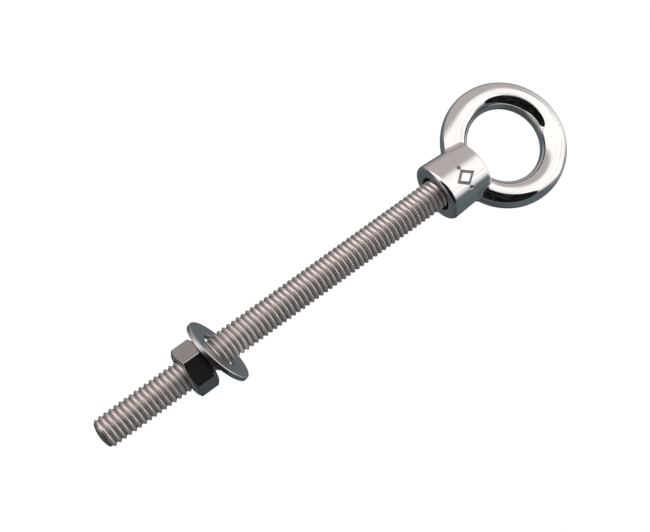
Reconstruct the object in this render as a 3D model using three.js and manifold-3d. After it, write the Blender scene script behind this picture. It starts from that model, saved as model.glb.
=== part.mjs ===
// Eye bolt: a cast ring with a round collar, a long threaded rod screwed into the collar,
// and a hexagon nut and a flat washer that run on the rod.
// Millimetres. +Z runs up the bolt from its tip to the ring, and the ring lies in the XZ plane.
// The origin is on the axis, in the collar's seating face.
import * as THREE from 'three';
import { mergeVertices } from 'three/addons/utils/BufferGeometryUtils.js';
import Module from 'manifold-3d';

const wasm = await Module();
wasm.setup();

// Screw thread: 5/16 inch, 18 to the inch, right-handed, with 60 degree flanks.
const PITCH = 25.4 / 18;
const CREST_RADIUS = 3.97;
const CREST_FLAT = PITCH / 8;
const ROOT_FLAT = PITCH / 4;
const THREAD_DEPTH = (PITCH - CREST_FLAT - ROOT_FLAT) / 2 / Math.tan(Math.PI / 6);
const ROOT_RADIUS = CREST_RADIUS - THREAD_DEPTH;
const CREST_HEIGHT = 0.5; // height of a crest over a whole number of pitches, on the +X side
const THREAD_SIDES = 12; // flat facets in one turn of thread
const THREAD_CLEARANCE = 0.12; // radial gap between a tapped hole and the rod in it

// Rod
const ROD_TIP = -101.6;
const ROD_TOP = 9.35;
const ROD_CHAMFER = 0.9;
const TIP_DOME = 0.55; // how far the middle of the tip stands out of its edge

// Ring and collar
const RING_CENTRE = 23.05;
const RING_RADIUS = 13.3; // from the middle of the hole to the middle of the round section
const RING_SECTION = 3.45; // radius of the round section
const COLLAR_HEIGHT = 12.7;
const COLLAR_RADIUS = 7.87; // at the seating face; it tapers towards the ring
const COLLAR_TOP_RADIUS = 7.16;
const COLLAR_ROUNDING = 1.0;
const COLLAR_TOP_ROUNDING = 0.35;
const HOLE_DEPTH = 9.75;
const DRILL_POINT = 1.2;
const COLLAR_COUNTERSINK = 4.98; // radius of the cone where it opens in the seating face

// Nut
const NUT_BOTTOM = -77.5;
const NUT_HEIGHT = 6.0;
const NUT_ACROSS_FLATS = 11.6;
const NUT_TURN = 12.7; // degrees from +X to the nearest corner
const NUT_COUNTERSINK = 4.37;
const NUT_FACE_RADIUS = 5.48; // of the flat left on each face by the chamfer
const NUT_CHAMFER_ANGLE = 30; // degrees

// Washer, which leans on the nut as far as its hole lets it
const WASHER_RADIUS = 9.45;
const WASHER_HOLE_RADIUS = 4.83;
const WASHER_THICKNESS = 1.22;
const WASHER_ROUNDING = 0.2;
const WASHER_CENTRE = -67.77;
const WASHER_LEAN = 25.5; // degrees
const WASHER_LEAN_TOWARDS = -111; // degrees from +X

const ROUND_SIDES = 48;
const BORE_SIDES = 24;
const RING_SECTION_SIDES = 16;
const OVERCUT = 1; // how far a cutting shape stands out of what it cuts
const degrees = THREE.MathUtils.degToRad;

// A closed geometry as a solid that can be joined and cut.
function solid(geometry) {
  const bare = geometry.clone();
  bare.deleteAttribute('normal');
  bare.deleteAttribute('uv');
  const merged = mergeVertices(bare, 1e-4);
  const mesh = new wasm.Mesh({
    numProp: 3,
    vertProperties: Float32Array.from(merged.attributes.position.array),
    triVerts: Uint32Array.from(merged.index.array),
  });
  return new wasm.Manifold(mesh);
}

// A solid as a geometry with flat facets.
function geometryOf(manifold) {
  const mesh = manifold.getMesh();
  const geometry = new THREE.BufferGeometry();
  geometry.setAttribute('position', new THREE.BufferAttribute(mesh.vertProperties, 3));
  geometry.setIndex(new THREE.BufferAttribute(mesh.triVerts, 1));
  const flat = geometry.toNonIndexed();
  flat.computeVertexNormals();
  return flat;
}

// A solid of revolution about Z from [radius, height] points that start and end on the axis.
function turned(points, sides = ROUND_SIDES) {
  const outline = points.map(([radius, height]) => new THREE.Vector2(radius, height));
  return solid(new THREE.LatheGeometry(outline, sides).rotateX(Math.PI / 2));
}

// Quarter circle from a side wall to a face, as [radius, height] points.
function roundedEdge(centreRadius, centreHeight, rounding, from, to, steps = 4) {
  const points = [];
  for (let i = 0; i <= steps; i++) {
    const angle = degrees(from + ((to - from) * i) / steps);
    points.push([centreRadius + rounding * Math.cos(angle), centreHeight + rounding * Math.sin(angle)]);
  }
  return points;
}

// A screw: one turn's outline climbs the helix, and a fan of facets to a point on the axis closes
// each end. The radii of a tapped hole are grown so that the middle of each facet clears the rod.
function screw(lowest, turns, clearance = 0) {
  const grow = (radius) => (clearance ? (radius + clearance) / Math.cos(Math.PI / THREAD_SIDES) : radius);
  const flank = (PITCH - CREST_FLAT - ROOT_FLAT) / 2;
  const crest = grow(CREST_RADIUS);
  const root = grow(ROOT_RADIUS);
  const outline = [
    [root, 0],
    [root, ROOT_FLAT],
    [crest, ROOT_FLAT + flank],
    [crest, ROOT_FLAT + flank + CREST_FLAT],
    [root, PITCH],
  ];
  const firstTurn = Math.floor(lowest / PITCH);
  const start = firstTurn * PITCH + CREST_HEIGHT - (ROOT_FLAT + flank + CREST_FLAT / 2);
  const steps = turns * THREAD_SIDES;
  const top = outline.length - 1;
  const point = (step, j) => {
    const angle = (step % THREAD_SIDES) * ((2 * Math.PI) / THREAD_SIDES);
    const [radius, height] = outline[j];
    const z = start + (step * PITCH) / THREAD_SIDES + height;
    return [radius * Math.cos(angle), radius * Math.sin(angle), z];
  };
  const bottomPole = [0, 0, start + PITCH / 2];
  const topPole = [0, 0, start + (turns + 0.5) * PITCH];
  const triangles = [];
  for (let step = 0; step < steps; step++) {
    for (let j = 0; j < top; j++) {
      const [a, b, c, d] = [point(step, j), point(step + 1, j), point(step + 1, j + 1), point(step, j + 1)];
      triangles.push(a, b, c, a, c, d);
    }
  }
  for (let step = 0; step < THREAD_SIDES; step++) {
    triangles.push(bottomPole, point(step + 1, 0), point(step, 0));
    const high = steps - THREAD_SIDES + step;
    triangles.push(topPole, point(high, top), point(high + 1, top));
  }
  for (let j = 0; j < top; j++) {
    triangles.push(bottomPole, point(0, j), point(0, j + 1));
    triangles.push(topPole, point(steps, j + 1), point(steps, j));
  }
  const geometry = new THREE.BufferGeometry();
  geometry.setAttribute('position', new THREE.Float32BufferAttribute(triangles.flat(), 3));
  return solid(geometry);
}

// The whole rod is threaded. A turned blank gives it its chamfered ends and its domed tip.
function threadedRod() {
  const blankRadius = CREST_RADIUS + OVERCUT;
  const faceRadius = CREST_RADIUS - ROD_CHAMFER;
  const bevel = blankRadius - faceRadius;
  const dome = [0, 0.6, 1].map((share) => [share * faceRadius, ROD_TIP + TIP_DOME * share ** 2]);
  const blank = turned([
    ...dome,
    [blankRadius, ROD_TIP + TIP_DOME + bevel],
    [blankRadius, ROD_TOP - bevel],
    [faceRadius, ROD_TOP],
    [0, ROD_TOP],
  ], BORE_SIDES);
  const turns = Math.ceil((ROD_TOP - ROD_TIP) / PITCH) + 3;
  return geometryOf(screw(ROD_TIP - PITCH, turns).intersect(blank));
}

// Cone that opens a tapped hole at a face; direction is +1 where the face looks down, -1 up.
function countersink(radius, face, direction) {
  const points = [
    [0, face - direction * OVERCUT],
    [radius + OVERCUT, face - direction * OVERCUT],
    [0, face + direction * radius],
  ];
  return turned(direction > 0 ? points : points.reverse(), BORE_SIDES);
}

// Ring and collar are one casting, with a blind tapped hole up the collar.
function liftingEye() {
  const torus = new THREE.TorusGeometry(RING_RADIUS, RING_SECTION, RING_SECTION_SIDES, ROUND_SIDES);
  const ring = solid(torus.rotateX(Math.PI / 2)).translate([0, 0, RING_CENTRE]);
  const collar = turned([
    [0, 0],
    ...roundedEdge(COLLAR_RADIUS - COLLAR_ROUNDING, COLLAR_ROUNDING, COLLAR_ROUNDING, -90, 0),
    ...roundedEdge(COLLAR_TOP_RADIUS - COLLAR_TOP_ROUNDING, COLLAR_HEIGHT - COLLAR_TOP_ROUNDING,
      COLLAR_TOP_ROUNDING, 0, 90, 2),
    [0, COLLAR_HEIGHT],
  ]);
  const boreRadius = CREST_RADIUS + OVERCUT;
  const bore = turned([
    [0, -OVERCUT],
    [boreRadius, -OVERCUT],
    [boreRadius, HOLE_DEPTH - DRILL_POINT],
    [ROOT_RADIUS + THREAD_CLEARANCE, HOLE_DEPTH],
    [0, HOLE_DEPTH + DRILL_POINT],
  ], THREAD_SIDES);
  const turns = Math.ceil(HOLE_DEPTH / PITCH) + 5;
  const tapped = screw(-3 * PITCH, turns, THREAD_CLEARANCE).intersect(bore);
  return geometryOf(ring.add(collar).subtract(tapped).subtract(countersink(COLLAR_COUNTERSINK, 0, 1)));
}

// Hexagon prism with the corners of both faces turned off, and a tapped hole through it.
function hexNut() {
  const cornerRadius = NUT_ACROSS_FLATS / 2 / Math.cos(Math.PI / 6);
  const corners = [0, 60, 120, 180, 240, 300].map((angle) => {
    const turn = degrees(NUT_TURN + angle);
    return new THREE.Vector2(cornerRadius * Math.cos(turn), cornerRadius * Math.sin(turn));
  });
  const hexagon = new THREE.Shape(corners);
  const prism = solid(new THREE.ExtrudeGeometry(hexagon, { depth: NUT_HEIGHT, bevelEnabled: false }))
    .translate([0, 0, NUT_BOTTOM]);
  const coneRadius = cornerRadius + OVERCUT;
  const fall = (coneRadius - NUT_FACE_RADIUS) * Math.tan(degrees(NUT_CHAMFER_ANGLE));
  const nutTop = NUT_BOTTOM + NUT_HEIGHT;
  const cones = turned([
    [0, NUT_BOTTOM],
    [NUT_FACE_RADIUS, NUT_BOTTOM],
    [coneRadius, NUT_BOTTOM + fall],
    [coneRadius, nutTop - fall],
    [NUT_FACE_RADIUS, nutTop],
    [0, nutTop],
  ]);
  const tapped = screw(NUT_BOTTOM - 3 * PITCH, Math.ceil(NUT_HEIGHT / PITCH) + 6, THREAD_CLEARANCE);
  return geometryOf(prism.intersect(cones).subtract(tapped)
    .subtract(countersink(NUT_COUNTERSINK, NUT_BOTTOM, 1))
    .subtract(countersink(NUT_COUNTERSINK, nutTop, -1)));
}

// Flat ring with rolled edges, drawn level about the origin.
function flatWasher() {
  const half = WASHER_THICKNESS / 2;
  const outer = WASHER_RADIUS - WASHER_ROUNDING;
  const inner = WASHER_HOLE_RADIUS;
  const points = [
    [inner, -half],
    ...roundedEdge(outer, WASHER_ROUNDING - half, WASHER_ROUNDING, -90, 0, 2),
    ...roundedEdge(outer, half - WASHER_ROUNDING, WASHER_ROUNDING, 0, 90, 2),
    [inner, half],
    [inner, -half],
  ];
  const outline = points.map(([radius, height]) => new THREE.Vector2(radius, height));
  return new THREE.LatheGeometry(outline, ROUND_SIDES).rotateX(Math.PI / 2);
}

const polishedSteel = new THREE.MeshStandardMaterial({ color: 0xc9c6c4, roughness: 0.08, metalness: 1 });
const rolledSteel = new THREE.MeshStandardMaterial({ color: 0x9c9491, roughness: 0.38, metalness: 1 });
const machinedSteel = new THREE.MeshStandardMaterial({ color: 0x8d8785, roughness: 0.3, metalness: 1 });
const stampedSteel = new THREE.MeshStandardMaterial({ color: 0x8f9294, roughness: 0.3, metalness: 1 });

function named(name, geometry, material) {
  const mesh = new THREE.Mesh(geometry, material);
  mesh.name = name;
  return mesh;
}

const eyeBolt = new THREE.Group();
const washer = named('flat_washer', flatWasher(), stampedSteel);
washer.position.set(0, 0, WASHER_CENTRE);
washer.quaternion.setFromAxisAngle(
  new THREE.Vector3(-Math.sin(degrees(WASHER_LEAN_TOWARDS)), Math.cos(degrees(WASHER_LEAN_TOWARDS)), 0),
  degrees(WASHER_LEAN),
);
eyeBolt.add(
  named('lifting_eye', liftingEye(), polishedSteel),
  named('threaded_rod', threadedRod(), rolledSteel),
  named('hex_nut', hexNut(), machinedSteel),
  washer,
);

export default eyeBolt;
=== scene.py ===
# %% [markdown]
# # An eye bolt, finished in Blender
# The bolt is four pieces of stainless steel: a polished eye, a threaded rod screwed into its
# collar, and a hexagon nut and a flat washer that run on the rod. The model that comes in first
# settles every size, place and motion. What this script adds is what a hand and an eye notice:
# rounded edges, a true screw thread, a fillet where the ring grows out of its collar, and steel
# that looks cast, rolled, machined or stamped.

# %% Load the frame
import math
import bmesh
import bpy
import numpy as np
from mathutils import Matrix, Vector


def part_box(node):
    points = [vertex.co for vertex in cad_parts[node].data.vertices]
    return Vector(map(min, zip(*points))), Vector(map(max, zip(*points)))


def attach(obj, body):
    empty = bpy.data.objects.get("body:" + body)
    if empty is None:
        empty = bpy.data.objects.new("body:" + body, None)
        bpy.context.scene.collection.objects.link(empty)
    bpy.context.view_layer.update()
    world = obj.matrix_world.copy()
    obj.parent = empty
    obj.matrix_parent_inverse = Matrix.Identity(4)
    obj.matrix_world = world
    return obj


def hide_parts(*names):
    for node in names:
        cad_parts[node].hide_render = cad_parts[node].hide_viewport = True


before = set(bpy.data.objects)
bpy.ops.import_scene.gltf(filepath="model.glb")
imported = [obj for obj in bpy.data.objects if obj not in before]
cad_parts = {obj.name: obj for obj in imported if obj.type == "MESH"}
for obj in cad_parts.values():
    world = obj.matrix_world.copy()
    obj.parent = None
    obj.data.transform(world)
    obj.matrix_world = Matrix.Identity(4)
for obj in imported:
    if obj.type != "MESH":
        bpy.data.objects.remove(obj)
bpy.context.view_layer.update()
print("frame nodes:", ", ".join(sorted(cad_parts)))

# %% [markdown]
# ## The camera
# The bolt stands upright in its own frame, ring at the top, but it is seen tilted across the
# picture, from a little below its seat. So the camera is rolled instead of the bolt. Its three
# axes are given as directions in the bolt's frame, which is what a camera's matrix holds.

# %% Camera
MM = 0.001
CAMERA_PLACE = Vector((21.28, -281.84, -109.27)) * MM
PICTURE_RIGHT = Vector((0.59931, -0.16026, 0.78431))
PICTURE_UP = Vector((-0.79669, -0.21508, 0.56482))
SENSOR_WIDTH = 36.0
LENS = 66.26

camera_data = bpy.data.cameras.new("camera")
camera_data.sensor_width = SENSOR_WIDTH
camera_data.lens = LENS
camera_data.clip_start = 0.01
camera = bpy.data.objects.new("camera", camera_data)
bpy.context.scene.collection.objects.link(camera)
toward_camera = PICTURE_RIGHT.cross(PICTURE_UP)
axes = Matrix((PICTURE_RIGHT, PICTURE_UP, toward_camera)).transposed()
camera.matrix_world = Matrix.Translation(CAMERA_PLACE) @ axes.to_4x4()
bpy.context.scene.camera = camera
print("camera looks along", [round(-part, 3) for part in toward_camera])

# %% [markdown]
# ## The driving sizes
# The frame gives the places: where the rod starts and ends, how high the nut sits, where the
# washer's middle is. Only what a box can't tell is named here, such as a thread's pitch.

# %% Sizes from the frame
_, eye_high = (np.array(corner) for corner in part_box("lifting_eye"))
rod_low, rod_high = (np.array(corner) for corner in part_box("threaded_rod"))
nut_low, nut_high = (np.array(corner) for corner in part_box("hex_nut"))
washer_low, washer_high = (np.array(corner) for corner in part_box("flat_washer"))

PITCH = 25.4 / 18 * MM
CREST_HEIGHT = 0.5 * MM
CREST_RADIUS = rod_high[0]
SECTION_RADIUS = 3.45 * MM
RING_RADIUS = eye_high[0] - SECTION_RADIUS
RING_CENTRE = eye_high[2] - eye_high[0]
COLLAR_HEIGHT = 12.7 * MM
COLLAR_SEAT_RADIUS = 7.87 * MM
COLLAR_TOP_RADIUS = 7.16 * MM
COLLAR_TAPER = (COLLAR_SEAT_RADIUS - COLLAR_TOP_RADIUS) / COLLAR_HEIGHT
COLLAR_COUNTERSINK = 4.98 * MM
CREST_FLAT = 0.25 * PITCH
ROOT_FLAT = 0.24 * PITCH
FLANK_SLOPE = math.tan(math.pi / 6)
THREAD_DEPTH = (PITCH - CREST_FLAT - ROOT_FLAT) / 2 / FLANK_SLOPE
NUT_FACE_RADIUS = 5.48 * MM
NUT_CHAMFER = math.tan(math.radians(30))
NUT_COUNTERSINK = 4.37 * MM
WASHER_RADIUS = 9.41 * MM
print("ring hole in mm:", round((RING_RADIUS - SECTION_RADIUS) * 2000, 2))
print("thread over crests in mm:", round(CREST_RADIUS * 2000, 2))

# %% [markdown]
# ## From numpy to a mesh
# Every piece below starts as a grid of points: one function of two parameters, worked out as a
# whole array. A grid can close on itself round the bolt, and on a screw thread it closes one
# pitch higher, which is what `climb` is for. Grids that share an edge are merged into one skin.
# Its open edges are counted and its volume printed, because only a closed skin has a volume.

# %% Grid helpers
MERGE_DISTANCE = 0.2e-6


def grid_faces(rows, columns, climb=0, close_rows=False):
    """Four corners for each cell of a grid that closes on itself round the columns.
    The last column joins the first one, `climb` rows further on."""
    last = rows if close_rows else rows - 1
    row, column = np.meshgrid(np.arange(last), np.arange(columns), indexing="ij")
    beside = (column + 1) % columns
    lift = np.where(column + 1 == columns, climb, 0)
    here, above = row, row + 1
    corners = [
        (here, column),
        (here + lift, beside),
        (above + lift, beside),
        (above, column),
    ]
    if close_rows:
        corners = [(r % rows, c) for r, c in corners]
    inside = np.ones(row.shape, bool) if close_rows else above + lift < rows
    faces = np.stack([r * columns + c for r, c in corners], axis=-1)
    return faces[inside].reshape(-1, 4)


def skin(name, grids):
    """One mesh from (points, faces) grids: equal points are merged, empty faces go, and the
    faces are turned outwards."""
    offsets = np.cumsum([0] + [points.reshape(-1, 3).shape[0] for points, _ in grids])
    points = np.concatenate([points.reshape(-1, 3) for points, _ in grids])
    faces = np.concatenate([faces + start for (_, faces), start in zip(grids, offsets)])
    mesh = bpy.data.meshes.new(name)
    mesh.from_pydata(points.tolist(), [], faces.tolist())
    work = bmesh.new()
    work.from_mesh(mesh)
    bmesh.ops.remove_doubles(work, verts=work.verts, dist=MERGE_DISTANCE)
    bmesh.ops.dissolve_degenerate(work, edges=work.edges, dist=MERGE_DISTANCE)
    bmesh.ops.recalc_face_normals(work, faces=work.faces)
    open_edges = sum(not edge.is_manifold for edge in work.edges)
    volume = work.calc_volume()
    work.to_mesh(mesh)
    work.free()
    mesh.polygons.foreach_set("use_smooth", np.ones(len(mesh.polygons), bool))
    print(f"{name}: {len(mesh.polygons)} faces, {open_edges} open edges, {volume * 1e9:.0f} mm3")
    return mesh


def place_piece(name, mesh, body, node, finish):
    """Puts a finished mesh in the scene in place of a CAD node, riding on that node's body."""
    piece = bpy.data.objects.new(name, mesh)
    bpy.context.scene.collection.objects.link(piece)
    mesh.materials.append(finish)
    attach(piece, body)
    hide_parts(node)


def turned_grid(radius, height, columns):
    """A profile of radii and heights carried round the bolt's axis: x = r cos a, y = r sin a."""
    azimuth = np.arange(columns) * (2 * np.pi / columns)
    if radius.ndim == 1:
        radius, height = radius[:, None], height[:, None]
    points = np.stack(
        [radius * np.cos(azimuth), radius * np.sin(azimuth), height + 0 * azimuth], axis=-1
    )
    return points, grid_faces(points.shape[0], columns)


def soft_max(a, b, blend):
    """The larger of a and b, with the corner where they cross rounded over the length blend."""
    overlap = np.maximum(blend - np.abs(a - b), 0) / blend
    return np.maximum(a, b) + overlap**2 * blend / 4


def soft_min(a, b, blend):
    """The smaller of a and b, rounded in the same way."""
    return -soft_max(-a, -b, blend)


# %% [markdown]
# ## Steel that looks like steel
# A metal's look is nearly all roughness and small relief. Shader maths reads best as
# expressions, so `Reading` wraps a node's output: adding or multiplying two of them adds the
# Math node. `Finish` holds one material, and its single `node` method makes everything else.

# %% Shader helpers
MIX_SHARE, MIX_FIRST, MIX_SECOND, MIX_COLOUR = 0, 6, 7, 2


class Reading:
    """A number that varies over a surface. Arithmetic on it adds Math nodes."""

    def __init__(self, finish, socket):
        self.finish, self.socket = finish, socket

    def math(self, operation, *others):
        inputs = dict(enumerate([self, *others]))
        return self.finish.node("ShaderNodeMath", {"operation": operation}, inputs)

    def __add__(self, other):
        return self.math("ADD", other)

    def __sub__(self, other):
        return self.math("SUBTRACT", other)

    def __mul__(self, other):
        return self.math("MULTIPLY", other)

    def __truediv__(self, other):
        return self.math("DIVIDE", other)

    def __pow__(self, other):
        return self.math("POWER", other)

    def __rsub__(self, other):
        return self.finish.number(other).math("SUBTRACT", self)

    def __neg__(self):
        return self.math("MULTIPLY", -1.0)

    __radd__ = __add__
    __rmul__ = __mul__

    def ramp(self, start, end):
        """0 below start, 1 above end, and a smooth step between them."""
        settings = {"interpolation_type": "SMOOTHSTEP"}
        inputs = {"Value": self, "From Min": start, "From Max": end}
        return self.finish.node("ShaderNodeMapRange", settings, inputs)


class Finish:
    """The node tree of one material or world."""

    def __init__(self, owner):
        owner.use_nodes = True
        self.owner, self.tree = owner, owner.node_tree
        self.tree.nodes.clear()

    def node(self, kind, settings=None, inputs=None, output=0):
        """Adds a node: settings first, then its inputs' values or links, and reads one output."""
        made = self.tree.nodes.new(kind)
        for key, value in (settings or {}).items():
            setattr(made, key, value)
        for key, value in (inputs or {}).items():
            if isinstance(value, Reading):
                self.tree.links.new(value.socket, made.inputs[key])
            else:
                made.inputs[key].default_value = value
        return Reading(self, made.outputs[output]) if made.outputs else made

    def number(self, value):
        """A plain number as a reading."""
        return self.node("ShaderNodeMath", {"operation": "ADD"}, {0: value, 1: 0.0})

    def mix(self, share, first, second):
        """A colour between two colours. The Mix node repeats its sockets for each data type, so
        the ones for colours are found by their place."""
        inputs = {MIX_SHARE: share, MIX_FIRST: first, MIX_SECOND: second}
        return self.node("ShaderNodeMix", {"data_type": "RGBA"}, inputs, output=MIX_COLOUR)

    def place(self):
        """Where a point of the surface is, in metres in the bolt's frame, as three readings."""
        spot = self.node("ShaderNodeTexCoord", output="Object")
        parts = self.node("ShaderNodeSeparateXYZ", None, {0: spot})
        return [Reading(self, socket) for socket in parts.socket.node.outputs]

    def noise(self, x, y, z, detail=2.0):
        """Smooth random relief from 0 to 1, a lump to each unit of x, y and z."""
        vector = self.node("ShaderNodeCombineXYZ", None, {0: x, 1: y, 2: z})
        inputs = {"Vector": vector, "Scale": 1.0, "Detail": detail}
        return self.node("ShaderNodeTexNoise", {"normalize": True}, inputs)

    def steel(self, colour, roughness, relief, depth, metallic=1.0):
        """Closes the tree: bare metal, with relief from 0 to 1 that stands `depth` metres tall.
        A dull scratched skin also scatters light, which a lower `metallic` stands for."""
        inputs = {"Height": relief, "Strength": 1.0, "Distance": depth}
        bump = self.node("ShaderNodeBump", None, inputs)
        inputs = {"Base Color": colour, "Roughness": roughness, "Metallic": metallic}
        shader = self.node("ShaderNodeBsdfPrincipled", None, {**inputs, "Normal": bump})
        self.node("ShaderNodeOutputMaterial", None, {"Surface": shader})
        return self.owner


def edge(reading, at, softness):
    """0 on the low side of a value and 1 on the high side, with a soft edge between them."""
    return reading.ramp(at - softness, at + softness)


# %% [markdown]
# ## Four finishes
# All four pieces are stainless steel, and each shows how it was made. The casting is ground and
# buffed, which leaves a mirror with faint waves and, on the collar, hair lines. The rod's thread
# is rolled and satin, rougher down in the grooves, where painted shade darkens it. The nut keeps
# the long lines of drawn bar on its flats and rings from the lathe on its faces. The washer has
# the straight grain of rolled sheet and a torn, upright grain on its punched rim.

# %% Polished casting
COLLAR_REACH = 8.2 * MM
STAMP_BOTTOM, STAMP_TOP = 3.2 * MM, 9.2 * MM


def polished_steel():
    """A mirror with faint waves. Steel that lies further in than the collar's taper is either
    the bore or the stamp, and both are dark and dull; the bore's near black is painted shade."""
    finish = Finish(bpy.data.materials.new("polished_steel"))
    x, y, z = finish.place()
    radius = (x * x + y * y) ** 0.5
    waves = finish.noise(x * 170, y * 170, z * 170, 1.0)
    lines = finish.noise(x * 500, y * 500, z * 9000, 2.0)
    collar = 1 - edge(radius, COLLAR_REACH, 0.5 * MM)
    collar = collar * (1 - edge(z, COLLAR_HEIGHT, 0.3 * MM))
    # The tapped bore and its countersink are painted near black: painted shade in the hole.
    painted_bore_shade = (1 - edge(radius, COLLAR_COUNTERSINK - 0.1 * MM, 0.1 * MM)) * collar
    drawn_in = COLLAR_SEAT_RADIUS - COLLAR_TAPER * z - radius
    stamped = edge(drawn_in, 0.13 * MM, 0.06 * MM) * edge(z, STAMP_BOTTOM, 0.1 * MM) * collar
    stamped = stamped * (1 - edge(z, STAMP_TOP, 0.1 * MM)) * (1 - painted_bore_shade)
    colour = finish.mix(painted_bore_shade, (0.68, 0.665, 0.655, 1), (0.05, 0.045, 0.045, 1))
    colour = finish.mix(stamped * (0.55 + 0.6 * lines), colour, (0.12, 0.105, 0.10, 1))
    roughness = 0.05 + 0.03 * waves + collar * (0.05 + 0.06 * lines)
    roughness = roughness + 0.4 * painted_bore_shade + 0.3 * stamped
    return finish.steel(colour, roughness, waves + 0.02 * lines * collar, 0.035 * MM)


# %% Rolled thread
def rolled_steel():
    """Satin steel, darker with depth below the crests, unevenly: painted shade in the grooves."""
    finish = Finish(bpy.data.materials.new("rolled_steel"))
    x, y, z = finish.place()
    radius = (x * x + y * y) ** 0.5
    depth = (CREST_RADIUS - radius) / THREAD_DEPTH
    mottle = finish.noise(x * 1600, y * 1600, z * 1600, 3.0)
    lines = finish.noise(x * 700, y * 700, z * 14000, 2.0)
    # Painted shade: the colour darkens with depth below the crests, down into the grooves.
    painted_groove_shade = edge(depth + 0.3 * (mottle - 0.5), 0.70, 0.35)
    colour = finish.mix(painted_groove_shade, (0.76, 0.69, 0.67, 1), (0.27, 0.24, 0.23, 1))
    roughness = 0.26 + 0.08 * mottle + 0.08 * painted_groove_shade
    return finish.steel(colour, roughness, 0.6 * mottle + 0.4 * lines, 0.003 * MM, 0.88)


# %% Machined nut
def machined_steel():
    """Fine lines up the flats and fine rings on the turned faces, told apart by the height at
    which the chamfer's cone starts."""
    finish = Finish(bpy.data.materials.new("machined_steel"))
    x, y, z = finish.place()
    radius = (x * x + y * y) ** 0.5
    middle, half = (nut_low[2] + nut_high[2]) / 2, (nut_high[2] - nut_low[2]) / 2
    height = (z - middle).math("ABSOLUTE")
    cone = height + (radius - NUT_FACE_RADIUS).math("MAXIMUM", 0.0) * NUT_CHAMFER
    turned = edge(cone, half - 0.05 * MM, 0.04 * MM)
    drawn = finish.noise(x * 2600, y * 2600, z * 130, 3.0)
    rings = finish.noise(radius * 9000, z * 9000, 0 * x, 2.0)
    mottle = finish.noise(x * 500, y * 500, z * 500, 2.0)
    # The tapped hole is painted dark: painted shade inside the nut.
    painted_bore_shade = 1 - edge(radius, NUT_COUNTERSINK, 0.1 * MM)
    shade = finish.mix(mottle, (0.46, 0.42, 0.405, 1), (0.36, 0.325, 0.315, 1))
    colour = finish.mix(painted_bore_shade, shade, (0.09, 0.08, 0.08, 1))
    grain = drawn + turned * (rings - drawn)
    roughness = 0.10 + 0.10 * grain + 0.06 * turned + 0.2 * painted_bore_shade
    return finish.steel(colour, roughness, grain, 0.0025 * MM)


# %% Stamped washer
def stamped_steel():
    """Straight grain in the washer's own plane, and a torn grain that stands on its rim."""
    finish = Finish(bpy.data.materials.new("stamped_steel"))
    x, y, z = finish.place()
    centre = (washer_low + washer_high) / 2
    apart = [x - centre[0], y - centre[1], z - centre[2]]
    across, along, out = washer_axes().T

    def part(axis):
        return apart[0] * axis[0] + apart[1] * axis[1] + apart[2] * axis[2]

    u, v, lift = part(across), part(along), part(out)
    rim = edge((u * u + v * v) ** 0.5, WASHER_RADIUS - 0.25 * MM, 0.08 * MM)
    sheet = finish.noise(u * 260, v * 4200, lift * 260, 3.0)
    torn = finish.noise(u * 5200, v * 5200, lift * 500, 2.0)
    mottle = finish.noise(u * 420, v * 420, lift * 420, 2.0)
    colour = finish.mix(mottle, (0.52, 0.52, 0.52, 1), (0.40, 0.405, 0.41, 1))
    grain = sheet + rim * (torn - sheet)
    roughness = 0.20 + 0.12 * grain + 0.06 * mottle
    return finish.steel(colour, roughness, grain, 0.004 * MM)


# %% [markdown]
# ## The threaded rod
# The rod is stainless bar with a rolled thread: rollers press the grooves in and push the
# crests up, so both come out rounded. A screw modifier would sweep a profile up the axis, but
# it leaves square ends. Here the rod is a grid of azimuth against height in which every row
# climbs one pitch a turn, so that the rows lie along the thread and its edges stay crisp.

# %% Thread profile
THREAD_ROUNDING = 0.46 * MM


def thread_radius(height, azimuth, clearance=0.0):
    """Distance from the axis to the thread: a wave of 60 degree vees that climbs one pitch a
    turn, cut off at the crest and at the root by a soft minimum and a soft maximum."""
    turns = (height - CREST_HEIGHT) / PITCH - azimuth / (2 * np.pi)
    from_crest = np.abs(turns - np.round(turns)) * PITCH
    flank = (CREST_FLAT / 2 - from_crest) / FLANK_SLOPE
    highest = soft_min(CREST_FLAT / 2 / FLANK_SLOPE, 0, THREAD_ROUNDING)
    relief = soft_max(soft_min(flank, 0, THREAD_ROUNDING), -THREAD_DEPTH, THREAD_ROUNDING)
    return CREST_RADIUS + relief - highest + clearance


print("thread depth in mm:", round(THREAD_DEPTH * 1000, 3))

# %% Rod
ROD_COLUMNS = 64
ROWS_PER_PITCH = 16
ROD_CHAMFER = 0.9 * MM
TIP_DOME = 0.55 * MM
TIP_DIMPLE_DEPTH = 0.22 * MM
TIP_DIMPLE_RADIUS = 0.55 * MM
TIP_RINGS = 14
CONE_BLEND = 0.12 * MM
tip_edge = rod_low[2] + TIP_DOME
end_radius = CREST_RADIUS - ROD_CHAMFER


def rod_radius(height, azimuth):
    """The thread, cut off at each end by a 45 degree cone."""
    from_tip = end_radius + (height - tip_edge)
    from_top = end_radius + (rod_high[2] - height)
    cone = np.minimum(from_tip, from_top)
    return soft_min(thread_radius(height, azimuth), cone, CONE_BLEND)


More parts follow.
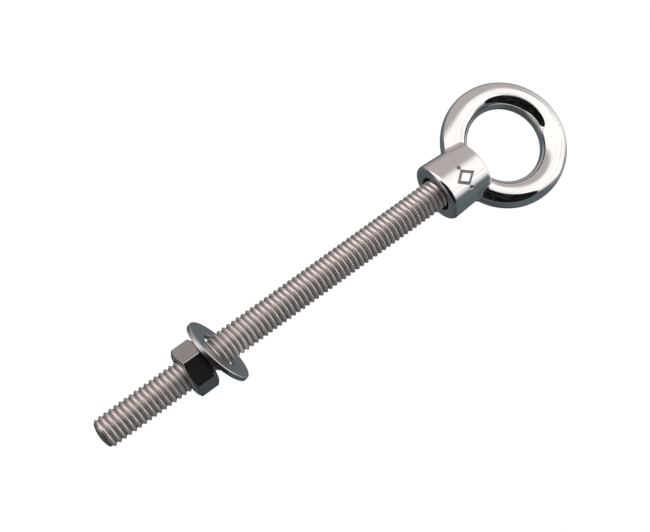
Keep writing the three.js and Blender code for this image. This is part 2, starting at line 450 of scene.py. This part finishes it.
def rod_mesh():
    """Rows that climb one pitch a turn, held between the two ends, with a domed tip that has a
    small dimple in the middle and a flat top."""
    azimuth = np.arange(ROD_COLUMNS) * (2 * np.pi / ROD_COLUMNS)
    step = PITCH / ROWS_PER_PITCH
    start = CREST_HEIGHT + PITCH * math.floor((tip_edge - CREST_HEIGHT) / PITCH - 1)
    rows = math.ceil((rod_high[2] - start) / step) + 3
    height = start + step * np.arange(rows)[:, None] + PITCH * azimuth / (2 * np.pi)
    height = np.clip(height, tip_edge, rod_high[2])
    radius = rod_radius(height, azimuth)
    side = np.stack([radius * np.cos(azimuth), radius * np.sin(azimuth), height], axis=-1)

    share = np.linspace(0, 1, TIP_RINGS)[:, None]
    tip_radius = share * rod_radius(tip_edge, azimuth)
    dimple = TIP_DIMPLE_DEPTH * np.exp(-((tip_radius / TIP_DIMPLE_RADIUS) ** 2) * 2)
    tip_height = rod_low[2] + TIP_DOME * share**2 + dimple
    top_radius = share[::-1] * rod_radius(rod_high[2], azimuth)
    top_height = np.full_like(top_radius, rod_high[2])
    return skin(
        "threaded_rod_fine",
        [
            (side, grid_faces(rows, ROD_COLUMNS, climb=ROWS_PER_PITCH)),
            turned_grid(tip_radius, tip_height, ROD_COLUMNS),
            turned_grid(top_radius, top_height, ROD_COLUMNS),
        ],
    )


place_piece(
    "threaded_rod_fine", rod_mesh(), "eye_bolt", "threaded_rod", rolled_steel()
)

# %% [markdown]
# ## The hexagon nut
# A nut is cut from drawn hexagon bar: its corners are a little round from the drawing, both
# faces are turned to a 30 degree cone that leaves an arc on every flat, and the tapped hole is
# countersunk at both ends. All of that is one grid: at each azimuth the profile runs out over
# the top face, down the flat and back over the bottom face, and the thread closes it inside.

# %% Nut
NUT_ACROSS_FLATS = 11.6 * MM
NUT_TURN = math.radians(12.7)
NUT_COLUMNS = 288
THREAD_CLEARANCE = 0.12 * MM
CORNER_SHARPNESS = 70
FACE_BLEND = 0.16 * MM
EDGE_BREAK = 0.12 * MM
FACE_RINGS, FLAT_RINGS, BORE_RINGS = 26, 16, 60


def hexagon_radius(azimuth):
    """Distance from the axis to a hexagon with rounded corners: half the width over flats,
    divided by a high power mean of the cosines to the six flats."""
    flats = NUT_TURN + np.radians(30) + np.arange(6) * (np.pi / 3)
    cosines = np.maximum(np.cos(azimuth[..., None] - flats), 0)
    mean = (cosines**CORNER_SHARPNESS).sum(-1) ** (1 / CORNER_SHARPNESS)
    return NUT_ACROSS_FLATS / 2 / mean


def nut_mesh():
    """Each column runs from the hole's mouth out over a face, down a flat, and back."""
    azimuth = np.arange(NUT_COLUMNS) * (2 * np.pi / NUT_COLUMNS)
    middle, half = (nut_low[2] + nut_high[2]) / 2, (nut_high[2] - nut_low[2]) / 2
    outer = hexagon_radius(azimuth)

    share = np.linspace(0, 1, FACE_RINGS)[:, None] ** 0.8
    radius = NUT_COUNTERSINK + (outer - NUT_COUNTERSINK) * share
    fall = soft_max((radius - NUT_FACE_RADIUS) * NUT_CHAMFER, 0 * radius, FACE_BLEND)
    into_edge = np.maximum(radius - (outer - EDGE_BREAK), 0)
    face = half - fall - 0.4 * into_edge**2 / EDGE_BREAK
    wall = face[-1] * np.linspace(1, -1, FLAT_RINGS)[1:-1, None]

    hole = np.linspace(1, -1, BORE_RINGS)[:, None] * half
    countersink = NUT_COUNTERSINK - (half - np.abs(hole))
    bore = thread_radius(middle + hole, azimuth, THREAD_CLEARANCE)
    bore = np.maximum(bore, countersink)
    radii = np.concatenate([radius, outer + 0 * wall, radius[::-1], bore[::-1]])
    heights = np.concatenate([face, wall, -face[::-1], hole[::-1] + 0 * azimuth])
    points, _ = turned_grid(radii, middle + heights, NUT_COLUMNS)
    faces = grid_faces(points.shape[0], NUT_COLUMNS, close_rows=True)
    return skin("hex_nut_fine", [(points, faces)])


place_piece("hex_nut_fine", nut_mesh(), "nut", "hex_nut", machined_steel())

# %% [markdown]
# ## The flat washer
# A washer is punched out of sheet. The punch drags the upper edges round and leaves the lower
# ones nearly sharp, so the section is a rectangle with two soft corners above two small ones. It
# hangs on the rod at a slant, with its middle at the middle of the node's box.

# %% Washer
WASHER_HOLE_RADIUS = 4.83 * MM
WASHER_THICKNESS = 1.22 * MM
WASHER_LEAN = math.radians(25.5)
WASHER_LEAN_TOWARDS = math.radians(-111)
WASHER_COLUMNS = 192
WASHER_ROLL = 0.32 * MM
WASHER_BURR = 0.16 * MM


def washer_axes():
    """The rotation that leans the washer: its columns are two directions in its plane and the
    direction its upper face looks."""
    axis = Vector((-math.sin(WASHER_LEAN_TOWARDS), math.cos(WASHER_LEAN_TOWARDS), 0))
    return np.array(Matrix.Rotation(WASHER_LEAN, 3, axis))


def corner(radius, height, rounding, start, steps=6):
    """A quarter circle of (radius, height) points, from the direction start in degrees."""
    angle = np.radians(start + np.linspace(0, 90, steps))
    return np.stack([radius + rounding * np.cos(angle), height + rounding * np.sin(angle)], -1)


def washer_mesh():
    """The section, clockwise from the hole's lower edge, carried round a circle and leaned."""
    half = WASHER_THICKNESS / 2
    roll, burr = WASHER_ROLL, WASHER_BURR
    section = np.concatenate(
        [
            corner(WASHER_HOLE_RADIUS + burr, -half + burr, burr, 180),
            corner(WASHER_RADIUS - burr, -half + burr, burr, 270),
            corner(WASHER_RADIUS - roll, half - roll, roll, 0),
            corner(WASHER_HOLE_RADIUS + roll, half - roll, roll, 90),
        ]
    )
    flat, _ = turned_grid(section[:, 0], section[:, 1], WASHER_COLUMNS)
    points = flat @ washer_axes().T + (washer_low + washer_high) / 2
    faces = grid_faces(len(section), WASHER_COLUMNS, close_rows=True)
    return skin("flat_washer_fine", [(points, faces)])


place_piece(
    "flat_washer_fine", washer_mesh(), "washer", "flat_washer", stamped_steel()
)

# %% [markdown]
# ## The eye
# Ring and collar are one casting, ground and polished until the ring mirrors the room. Its
# shape is a torus and a tapered cylinder that flow into each other, and that has a plain
# formula: the distance to each, joined by a round union. So the two bodies are remeshed into
# one even skin first, and every vertex is then slid onto the surface that the formula gives,
# which also yields the exact direction the surface faces, for clean reflections.

# %% Distance to the eye
FILLET = 0.7 * MM
SEAT_ROUNDING = 1.0 * MM
COLLAR_TOP_ROUNDING = 0.5 * MM
HOLE_DEPTH = 9.75 * MM
HOLE_ROUNDING = 0.1 * MM
MARK_AZIMUTH = math.radians(-78)
MARK_HEIGHT = 6.3 * MM
MARK_SIZE = 1.5 * MM
MARK_STROKE = 0.6 * MM
MARK_WALL = 0.22 * MM
MARK_DEPTH = 0.24 * MM
MARK_DOT = 0.2 * MM
DIAMOND_SQUASH = 0.85
DIAMOND_STRETCH = 1.3


def round_union(a, b, rounding):
    """Distance to a or b, with a fillet of that radius where they meet."""
    inner = np.hypot(np.maximum(rounding - a, 0), np.maximum(rounding - b, 0))
    return np.maximum(rounding, np.minimum(a, b)) - inner


def round_overlap(a, b, rounding):
    """Distance to what a and b share, with their common edge rounded."""
    return -round_union(-a, -b, rounding)


def mark_depth(points):
    """How deep the stamp went at a point of the collar: a diamond outline between two dots,
    measured round the collar and up it from the middle of the mark. Stands in for a size."""
    x, y, z = points.T
    side = (np.arctan2(y, x) - MARK_AZIMUTH + np.pi) % (2 * np.pi) - np.pi
    along, up = side * COLLAR_SEAT_RADIUS, z - MARK_HEIGHT
    outline = (np.abs(along) + np.abs(up) * DIAMOND_SQUASH) / DIAMOND_STRETCH
    diamond = np.abs(outline - MARK_SIZE)
    dots = np.hypot(np.abs(along) - 2.1 * MARK_SIZE, up) - MARK_DOT
    from_stroke = np.minimum(diamond, np.maximum(dots, 0))
    cut = np.clip((MARK_STROKE / 2 - from_stroke) / MARK_WALL + 0.5, 0, 1)
    return MARK_DEPTH * cut * cut * (3 - 2 * cut)


def eye_distance(points):
    """Metres from each point to the eye's surface, negative inside the steel."""
    x, y, z = points.T
    ring = np.hypot(np.hypot(x, z - RING_CENTRE) - RING_RADIUS, y) - SECTION_RADIUS
    radius = np.hypot(x, y)
    side = (radius - COLLAR_SEAT_RADIUS + COLLAR_TAPER * z) / math.hypot(1, COLLAR_TAPER)
    side = side + mark_depth(points)
    collar = round_overlap(side, -z, SEAT_ROUNDING)
    collar = round_overlap(collar, z - COLLAR_HEIGHT, COLLAR_TOP_ROUNDING)
    body = round_union(ring, collar, FILLET)
    hole = np.maximum(radius - CREST_RADIUS - THREAD_CLEARANCE, z - HOLE_DEPTH)
    countersink = (radius + z - COLLAR_COUNTERSINK) / math.sqrt(2)
    return round_overlap(body, -np.minimum(hole, countersink), HOLE_ROUNDING)


def slope(points, reach=0.01 * MM):
    """Which way the distance grows fastest, by differences along the three axes."""
    steps = np.eye(3) * reach
    parts = [eye_distance(points + s) - eye_distance(points - s) for s in steps]
    return np.stack(parts, axis=-1) / (2 * reach)


# %% Eye
EYE_CELL = 0.26 * MM
TUBE_COLUMNS, RING_COLUMNS, COLLAR_COLUMNS = 32, 128, 96
BLANK_CHAMFER = 0.4 * MM
INSIDE_COLLAR = 6 * MM
RELAXING = (0.5, 0.5, 0.5, 0.5, 0.3, 0.0)


def eye_blank():
    """A torus and a bored cylinder, as two closed grids that overlap."""
    tube = np.linspace(0, 2 * np.pi, TUBE_COLUMNS, endpoint=False)[:, None]
    around = np.linspace(0, 2 * np.pi, RING_COLUMNS, endpoint=False)
    reach = RING_RADIUS + SECTION_RADIUS * np.cos(tube)
    torus = np.stack(
        [
            reach * np.sin(around),
            SECTION_RADIUS * np.sin(tube) + 0 * around,
            RING_CENTRE + reach * np.cos(around),
        ],
        axis=-1,
    )
    bore = CREST_RADIUS + THREAD_CLEARANCE
    profile = np.array(
        [
            (0, HOLE_DEPTH),
            (bore, HOLE_DEPTH),
            (bore, 0),
            (COLLAR_SEAT_RADIUS - BLANK_CHAMFER, 0),
            (COLLAR_SEAT_RADIUS, BLANK_CHAMFER),
            (COLLAR_TOP_RADIUS, COLLAR_HEIGHT),
            (0, COLLAR_HEIGHT),
        ]
    )
    ring_faces = grid_faces(TUBE_COLUMNS, RING_COLUMNS, close_rows=True)
    collar = turned_grid(profile[:, 0], profile[:, 1], COLLAR_COLUMNS)
    return skin("eye_blank", [(torus, ring_faces), collar])


def vertex_places(mesh):
    """Every vertex of a mesh as a row of x, y and z."""
    points = np.empty(len(mesh.vertices) * 3)
    mesh.vertices.foreach_get("co", points)
    return points.reshape(-1, 3)


def onto_eye(points):
    """Newton's steps from each point to the place where the distance formula is nought."""
    for _ in range(4):
        uphill = slope(points)
        steep = np.maximum((uphill**2).sum(-1, keepdims=True), 0.25)
        points = points - eye_distance(points)[:, None] * uphill / steep
    return points


def divide_mark(mesh):
    """Cuts the cells under the stamped mark in four each way, so that its walls are crisp."""
    fine = bmesh.new()
    fine.from_mesh(mesh)
    near = []
    for face in fine.faces:
        x, y, z = face.calc_center_median()
        side = abs(math.atan2(y, x) - MARK_AZIMUTH) * COLLAR_SEAT_RADIUS
        beside = side < 3 * MARK_SIZE and abs(z - MARK_HEIGHT) < 1.8 * MARK_SIZE
        if beside and math.hypot(x, y) > INSIDE_COLLAR:
            near.append(face)
    edges = list({edge for face in near for edge in face.edges})
    bmesh.ops.subdivide_edges(fine, edges=edges, cuts=3, use_grid_fill=True)
    fine.to_mesh(mesh)
    fine.free()


def eye_mesh():
    """The blank's even skin, slid onto the distance formula by Newton's steps, with a little
    smoothing between them so that the cells stay square."""
    blank = bpy.data.objects.new("eye_blank", eye_blank())
    bpy.context.scene.collection.objects.link(blank)
    remesh = blank.modifiers.new("even_skin", "REMESH")
    remesh.mode = "VOXEL"
    remesh.voxel_size = EYE_CELL
    bpy.context.view_layer.update()
    even = blank.evaluated_get(bpy.context.evaluated_depsgraph_get())
    mesh = bpy.data.meshes.new_from_object(even)
    mesh.name = "lifting_eye_fine"
    bpy.data.objects.remove(blank)

    count = len(mesh.vertices)
    points = vertex_places(mesh)
    edges = np.empty(len(mesh.edges) * 2, int)
    mesh.edges.foreach_get("vertices", edges)
    ends = np.concatenate([edges.reshape(-1, 2), edges.reshape(-1, 2)[:, ::-1]])
    neighbours = np.bincount(ends[:, 0], minlength=count)
    for relaxing in RELAXING:
        total = [np.bincount(ends[:, 0], points[ends[:, 1], k], count) for k in range(3)]
        middle = np.stack(total, axis=-1) / neighbours[:, None]
        points += relaxing * (middle - points)
        points = onto_eye(points)
    mesh.vertices.foreach_set("co", points.ravel())
    divide_mark(mesh)
    points = onto_eye(vertex_places(mesh))
    mesh.vertices.foreach_set("co", points.ravel())
    mesh.polygons.foreach_set("use_smooth", np.ones(len(mesh.polygons), bool))
    mesh.update()
    facing = slope(points)
    facing /= np.linalg.norm(facing, axis=-1, keepdims=True)
    mesh.normals_split_custom_set_from_vertices(facing.tolist())
    left = np.abs(eye_distance(points)).max()
    print(f"eye: {len(mesh.polygons)} faces, furthest vertex off the formula {left * 1e6:.1f} um")
    return mesh


place_piece(
    "lifting_eye_fine", eye_mesh(), "eye_bolt", "lifting_eye", polished_steel()
)

# %% [markdown]
# ## The studio
# Polished steel has no colour of its own: it shows the room. So the room is designed like a
# photographer's table, as a few cards round the camera, and drawn straight into the world. Each
# direction is laid flat on a disc whose middle is the camera, with `across` and `rise` as its
# two coordinates: about 1 is square to the view, and what is behind the bolt lies far out.
# `BEHIND` is a little over 1, so that the direction straight behind stays at a finite place.
# The camera itself sees a plain white ground.

# %% Studio
BEHIND = 1.03
CARD_TILT = 0.45


def card(across, rise, left, right, bottom, top, softness):
    """A rectangular card with soft edges."""
    wide = edge(across, left, softness) * (1 - edge(across, right, softness))
    return wide * edge(rise, bottom, softness) * (1 - edge(rise, top, softness))


def studio():
    room = Finish(bpy.data.worlds.new("studio"))
    direction = room.node("ShaderNodeTexCoord", output="Generated")

    def part(axis):
        inputs = {0: direction, 1: axis}
        settings = {"operation": "DOT_PRODUCT"}
        return room.node("ShaderNodeVectorMath", settings, inputs, output="Value")

    depth = part(toward_camera) + BEHIND
    across, rise = part(PICTURE_RIGHT) / depth, part(PICTURE_UP) / depth
    spread = (across * across + rise * rise) ** 0.5

    slate, dark_slate = (0.13, 0.165, 0.185, 1), (0.045, 0.056, 0.062, 1)
    ceiling, dim_ceiling = (0.64, 0.595, 0.59, 1), (0.36, 0.34, 0.34, 1)
    table, wall = (0.085, 0.092, 0.095, 1), (0.42, 0.40, 0.40, 1)
    pale, white = (1.1, 1.1, 1.1, 1), (1.55, 1.53, 1.52, 1)
    near = 1 - edge(spread, 2.7, 0.5)
    slate = room.mix(edge(across, 3.2, 0.3), slate, dark_slate)
    slate = room.mix(edge(-rise, 2.1, 0.4) * edge(across, 0, 0.5), slate, dark_slate)
    light = room.mix(edge(-rise, 0.9, 0.5) * edge(-across, -0.3, 0.4) * near, slate, table)
    overhead = room.mix(edge(spread, 1.9, 0.7), ceiling, dim_ceiling)
    light = room.mix(edge(rise, 0.35, 0.2) * edge(across, -1.3, 0.4) * near, light, overhead)
    light = room.mix(card(across, rise, 1.0, 2.6, -0.45, 0.6, 0.25), light, wall)
    light = room.mix(card(across, rise, 0.75, 2.2, 0.35, 1.3, 0.3), light, pale)
    streaks = room.noise(across * 2.2, (rise - CARD_TILT * across) * 13, 0 * rise, 2.0)
    sheet = room.mix(edge(streaks, 0.60, 0.09) * 0.62, white, ceiling)
    light = room.mix(card(across, rise, 0.2, 1.25, -0.2, 0.62, 0.12), light, sheet)
    left_card = card(across, rise - CARD_TILT * across, -1.0, 0.25, 0.03, 2.0, 0.07)
    light = room.mix(left_card * (1 - edge(rise, 0.42, 0.12)), light, sheet)

    seen = room.node("ShaderNodeLightPath", output="Is Camera Ray")
    light = room.mix(seen, light, (1, 1, 1, 1))
    background = room.node("ShaderNodeBackground", None, {"Color": light, "Strength": 1.0})
    room.node("ShaderNodeOutputWorld", None, {"Surface": background})
    return room.owner


bpy.context.scene.world = studio()

# %% [markdown]
# ## The black board and the floor
# A photographer hangs a black board round the lens, so that a mirror shows a crisp dark shape
# and reads as metal. It has to stand at its real distance, because the nut sees it from another
# side than the ring does. The floor is a pale disc well below the tip. Neither belongs to the
# object.

# %% Board and floor
BOARD_DISTANCE = 0.33
BOARD_HALF_WIDTH, BOARD_HALF_HEIGHT = 0.62, 0.41
BOARD_ACROSS, BOARD_RISE = -0.05, -0.35
FLOOR_HEIGHT = -0.35
FLOOR_RADIUS = 3
STAGE_SIDES = 96
ring_middle = Vector((0, 0, RING_CENTRE))


def stage_disc(name, points, finish):
    """A flat many-sided disc from points round its edge, which belongs to the stage."""
    mesh = bpy.data.meshes.new(name)
    mesh.from_pydata(points.tolist(), [], [list(range(len(points)))])
    mesh.materials.append(finish)
    disc = bpy.data.objects.new(name, mesh)
    bpy.context.scene.collection.objects.link(disc)
    return disc


def board_points():
    """An oval that hangs mostly below the lens, drawn on the same disc as the cards and carried
    out to its distance: a point's place is its direction divided by how far it looks towards
    the lens."""
    turn = np.linspace(0, 2 * np.pi, STAGE_SIDES, endpoint=False)
    across = BOARD_HALF_WIDTH * np.cos(turn) + BOARD_ACROSS
    rise = BOARD_HALF_HEIGHT * np.sin(turn) + BOARD_RISE
    scale = 2 * BOARD_DISTANCE / (1 - across**2 - rise**2)
    flat = np.outer(across * scale, PICTURE_RIGHT) + np.outer(rise * scale, PICTURE_UP)
    return flat + np.array(ring_middle + toward_camera * BOARD_DISTANCE)


def board_finish():
    finish = Finish(bpy.data.materials.new("black_cloth"))
    x, y, z = finish.place()
    folds = edge(finish.noise(x * 16, y * 6, z * 16, 2.0), 0.60, 0.10) * 0.05 + 0.006
    inputs = {"Color": (1, 0.95, 0.93, 1), "Strength": folds}
    shader = finish.node("ShaderNodeEmission", None, inputs)
    finish.node("ShaderNodeOutputMaterial", None, {"Surface": shader})
    return finish.owner


def floor_finish():
    finish = Finish(bpy.data.materials.new("pale_floor"))
    white = (0.9, 0.9, 0.9, 1)
    inputs = {"Base Color": white, "Roughness": 0.8}
    glow = {"Emission Color": white, "Emission Strength": 0.5}
    shader = finish.node("ShaderNodeBsdfPrincipled", None, {**inputs, **glow})
    finish.node("ShaderNodeOutputMaterial", None, {"Surface": shader})
    return finish.owner


board = stage_disc("black_board", board_points(), board_finish())
board.visible_camera = False
board.visible_shadow = False
board.visible_diffuse = False
turn = np.linspace(0, 2 * np.pi, STAGE_SIDES, endpoint=False)
level = np.full(STAGE_SIDES, FLOOR_HEIGHT)
rim = FLOOR_RADIUS * np.stack([np.cos(turn), np.sin(turn)])
floor_points = np.stack([*rim, level], axis=-1)
floor = stage_disc("floor", floor_points, floor_finish())
floor.visible_glossy = False
bpy.context.scene.view_settings.view_transform = "Standard"
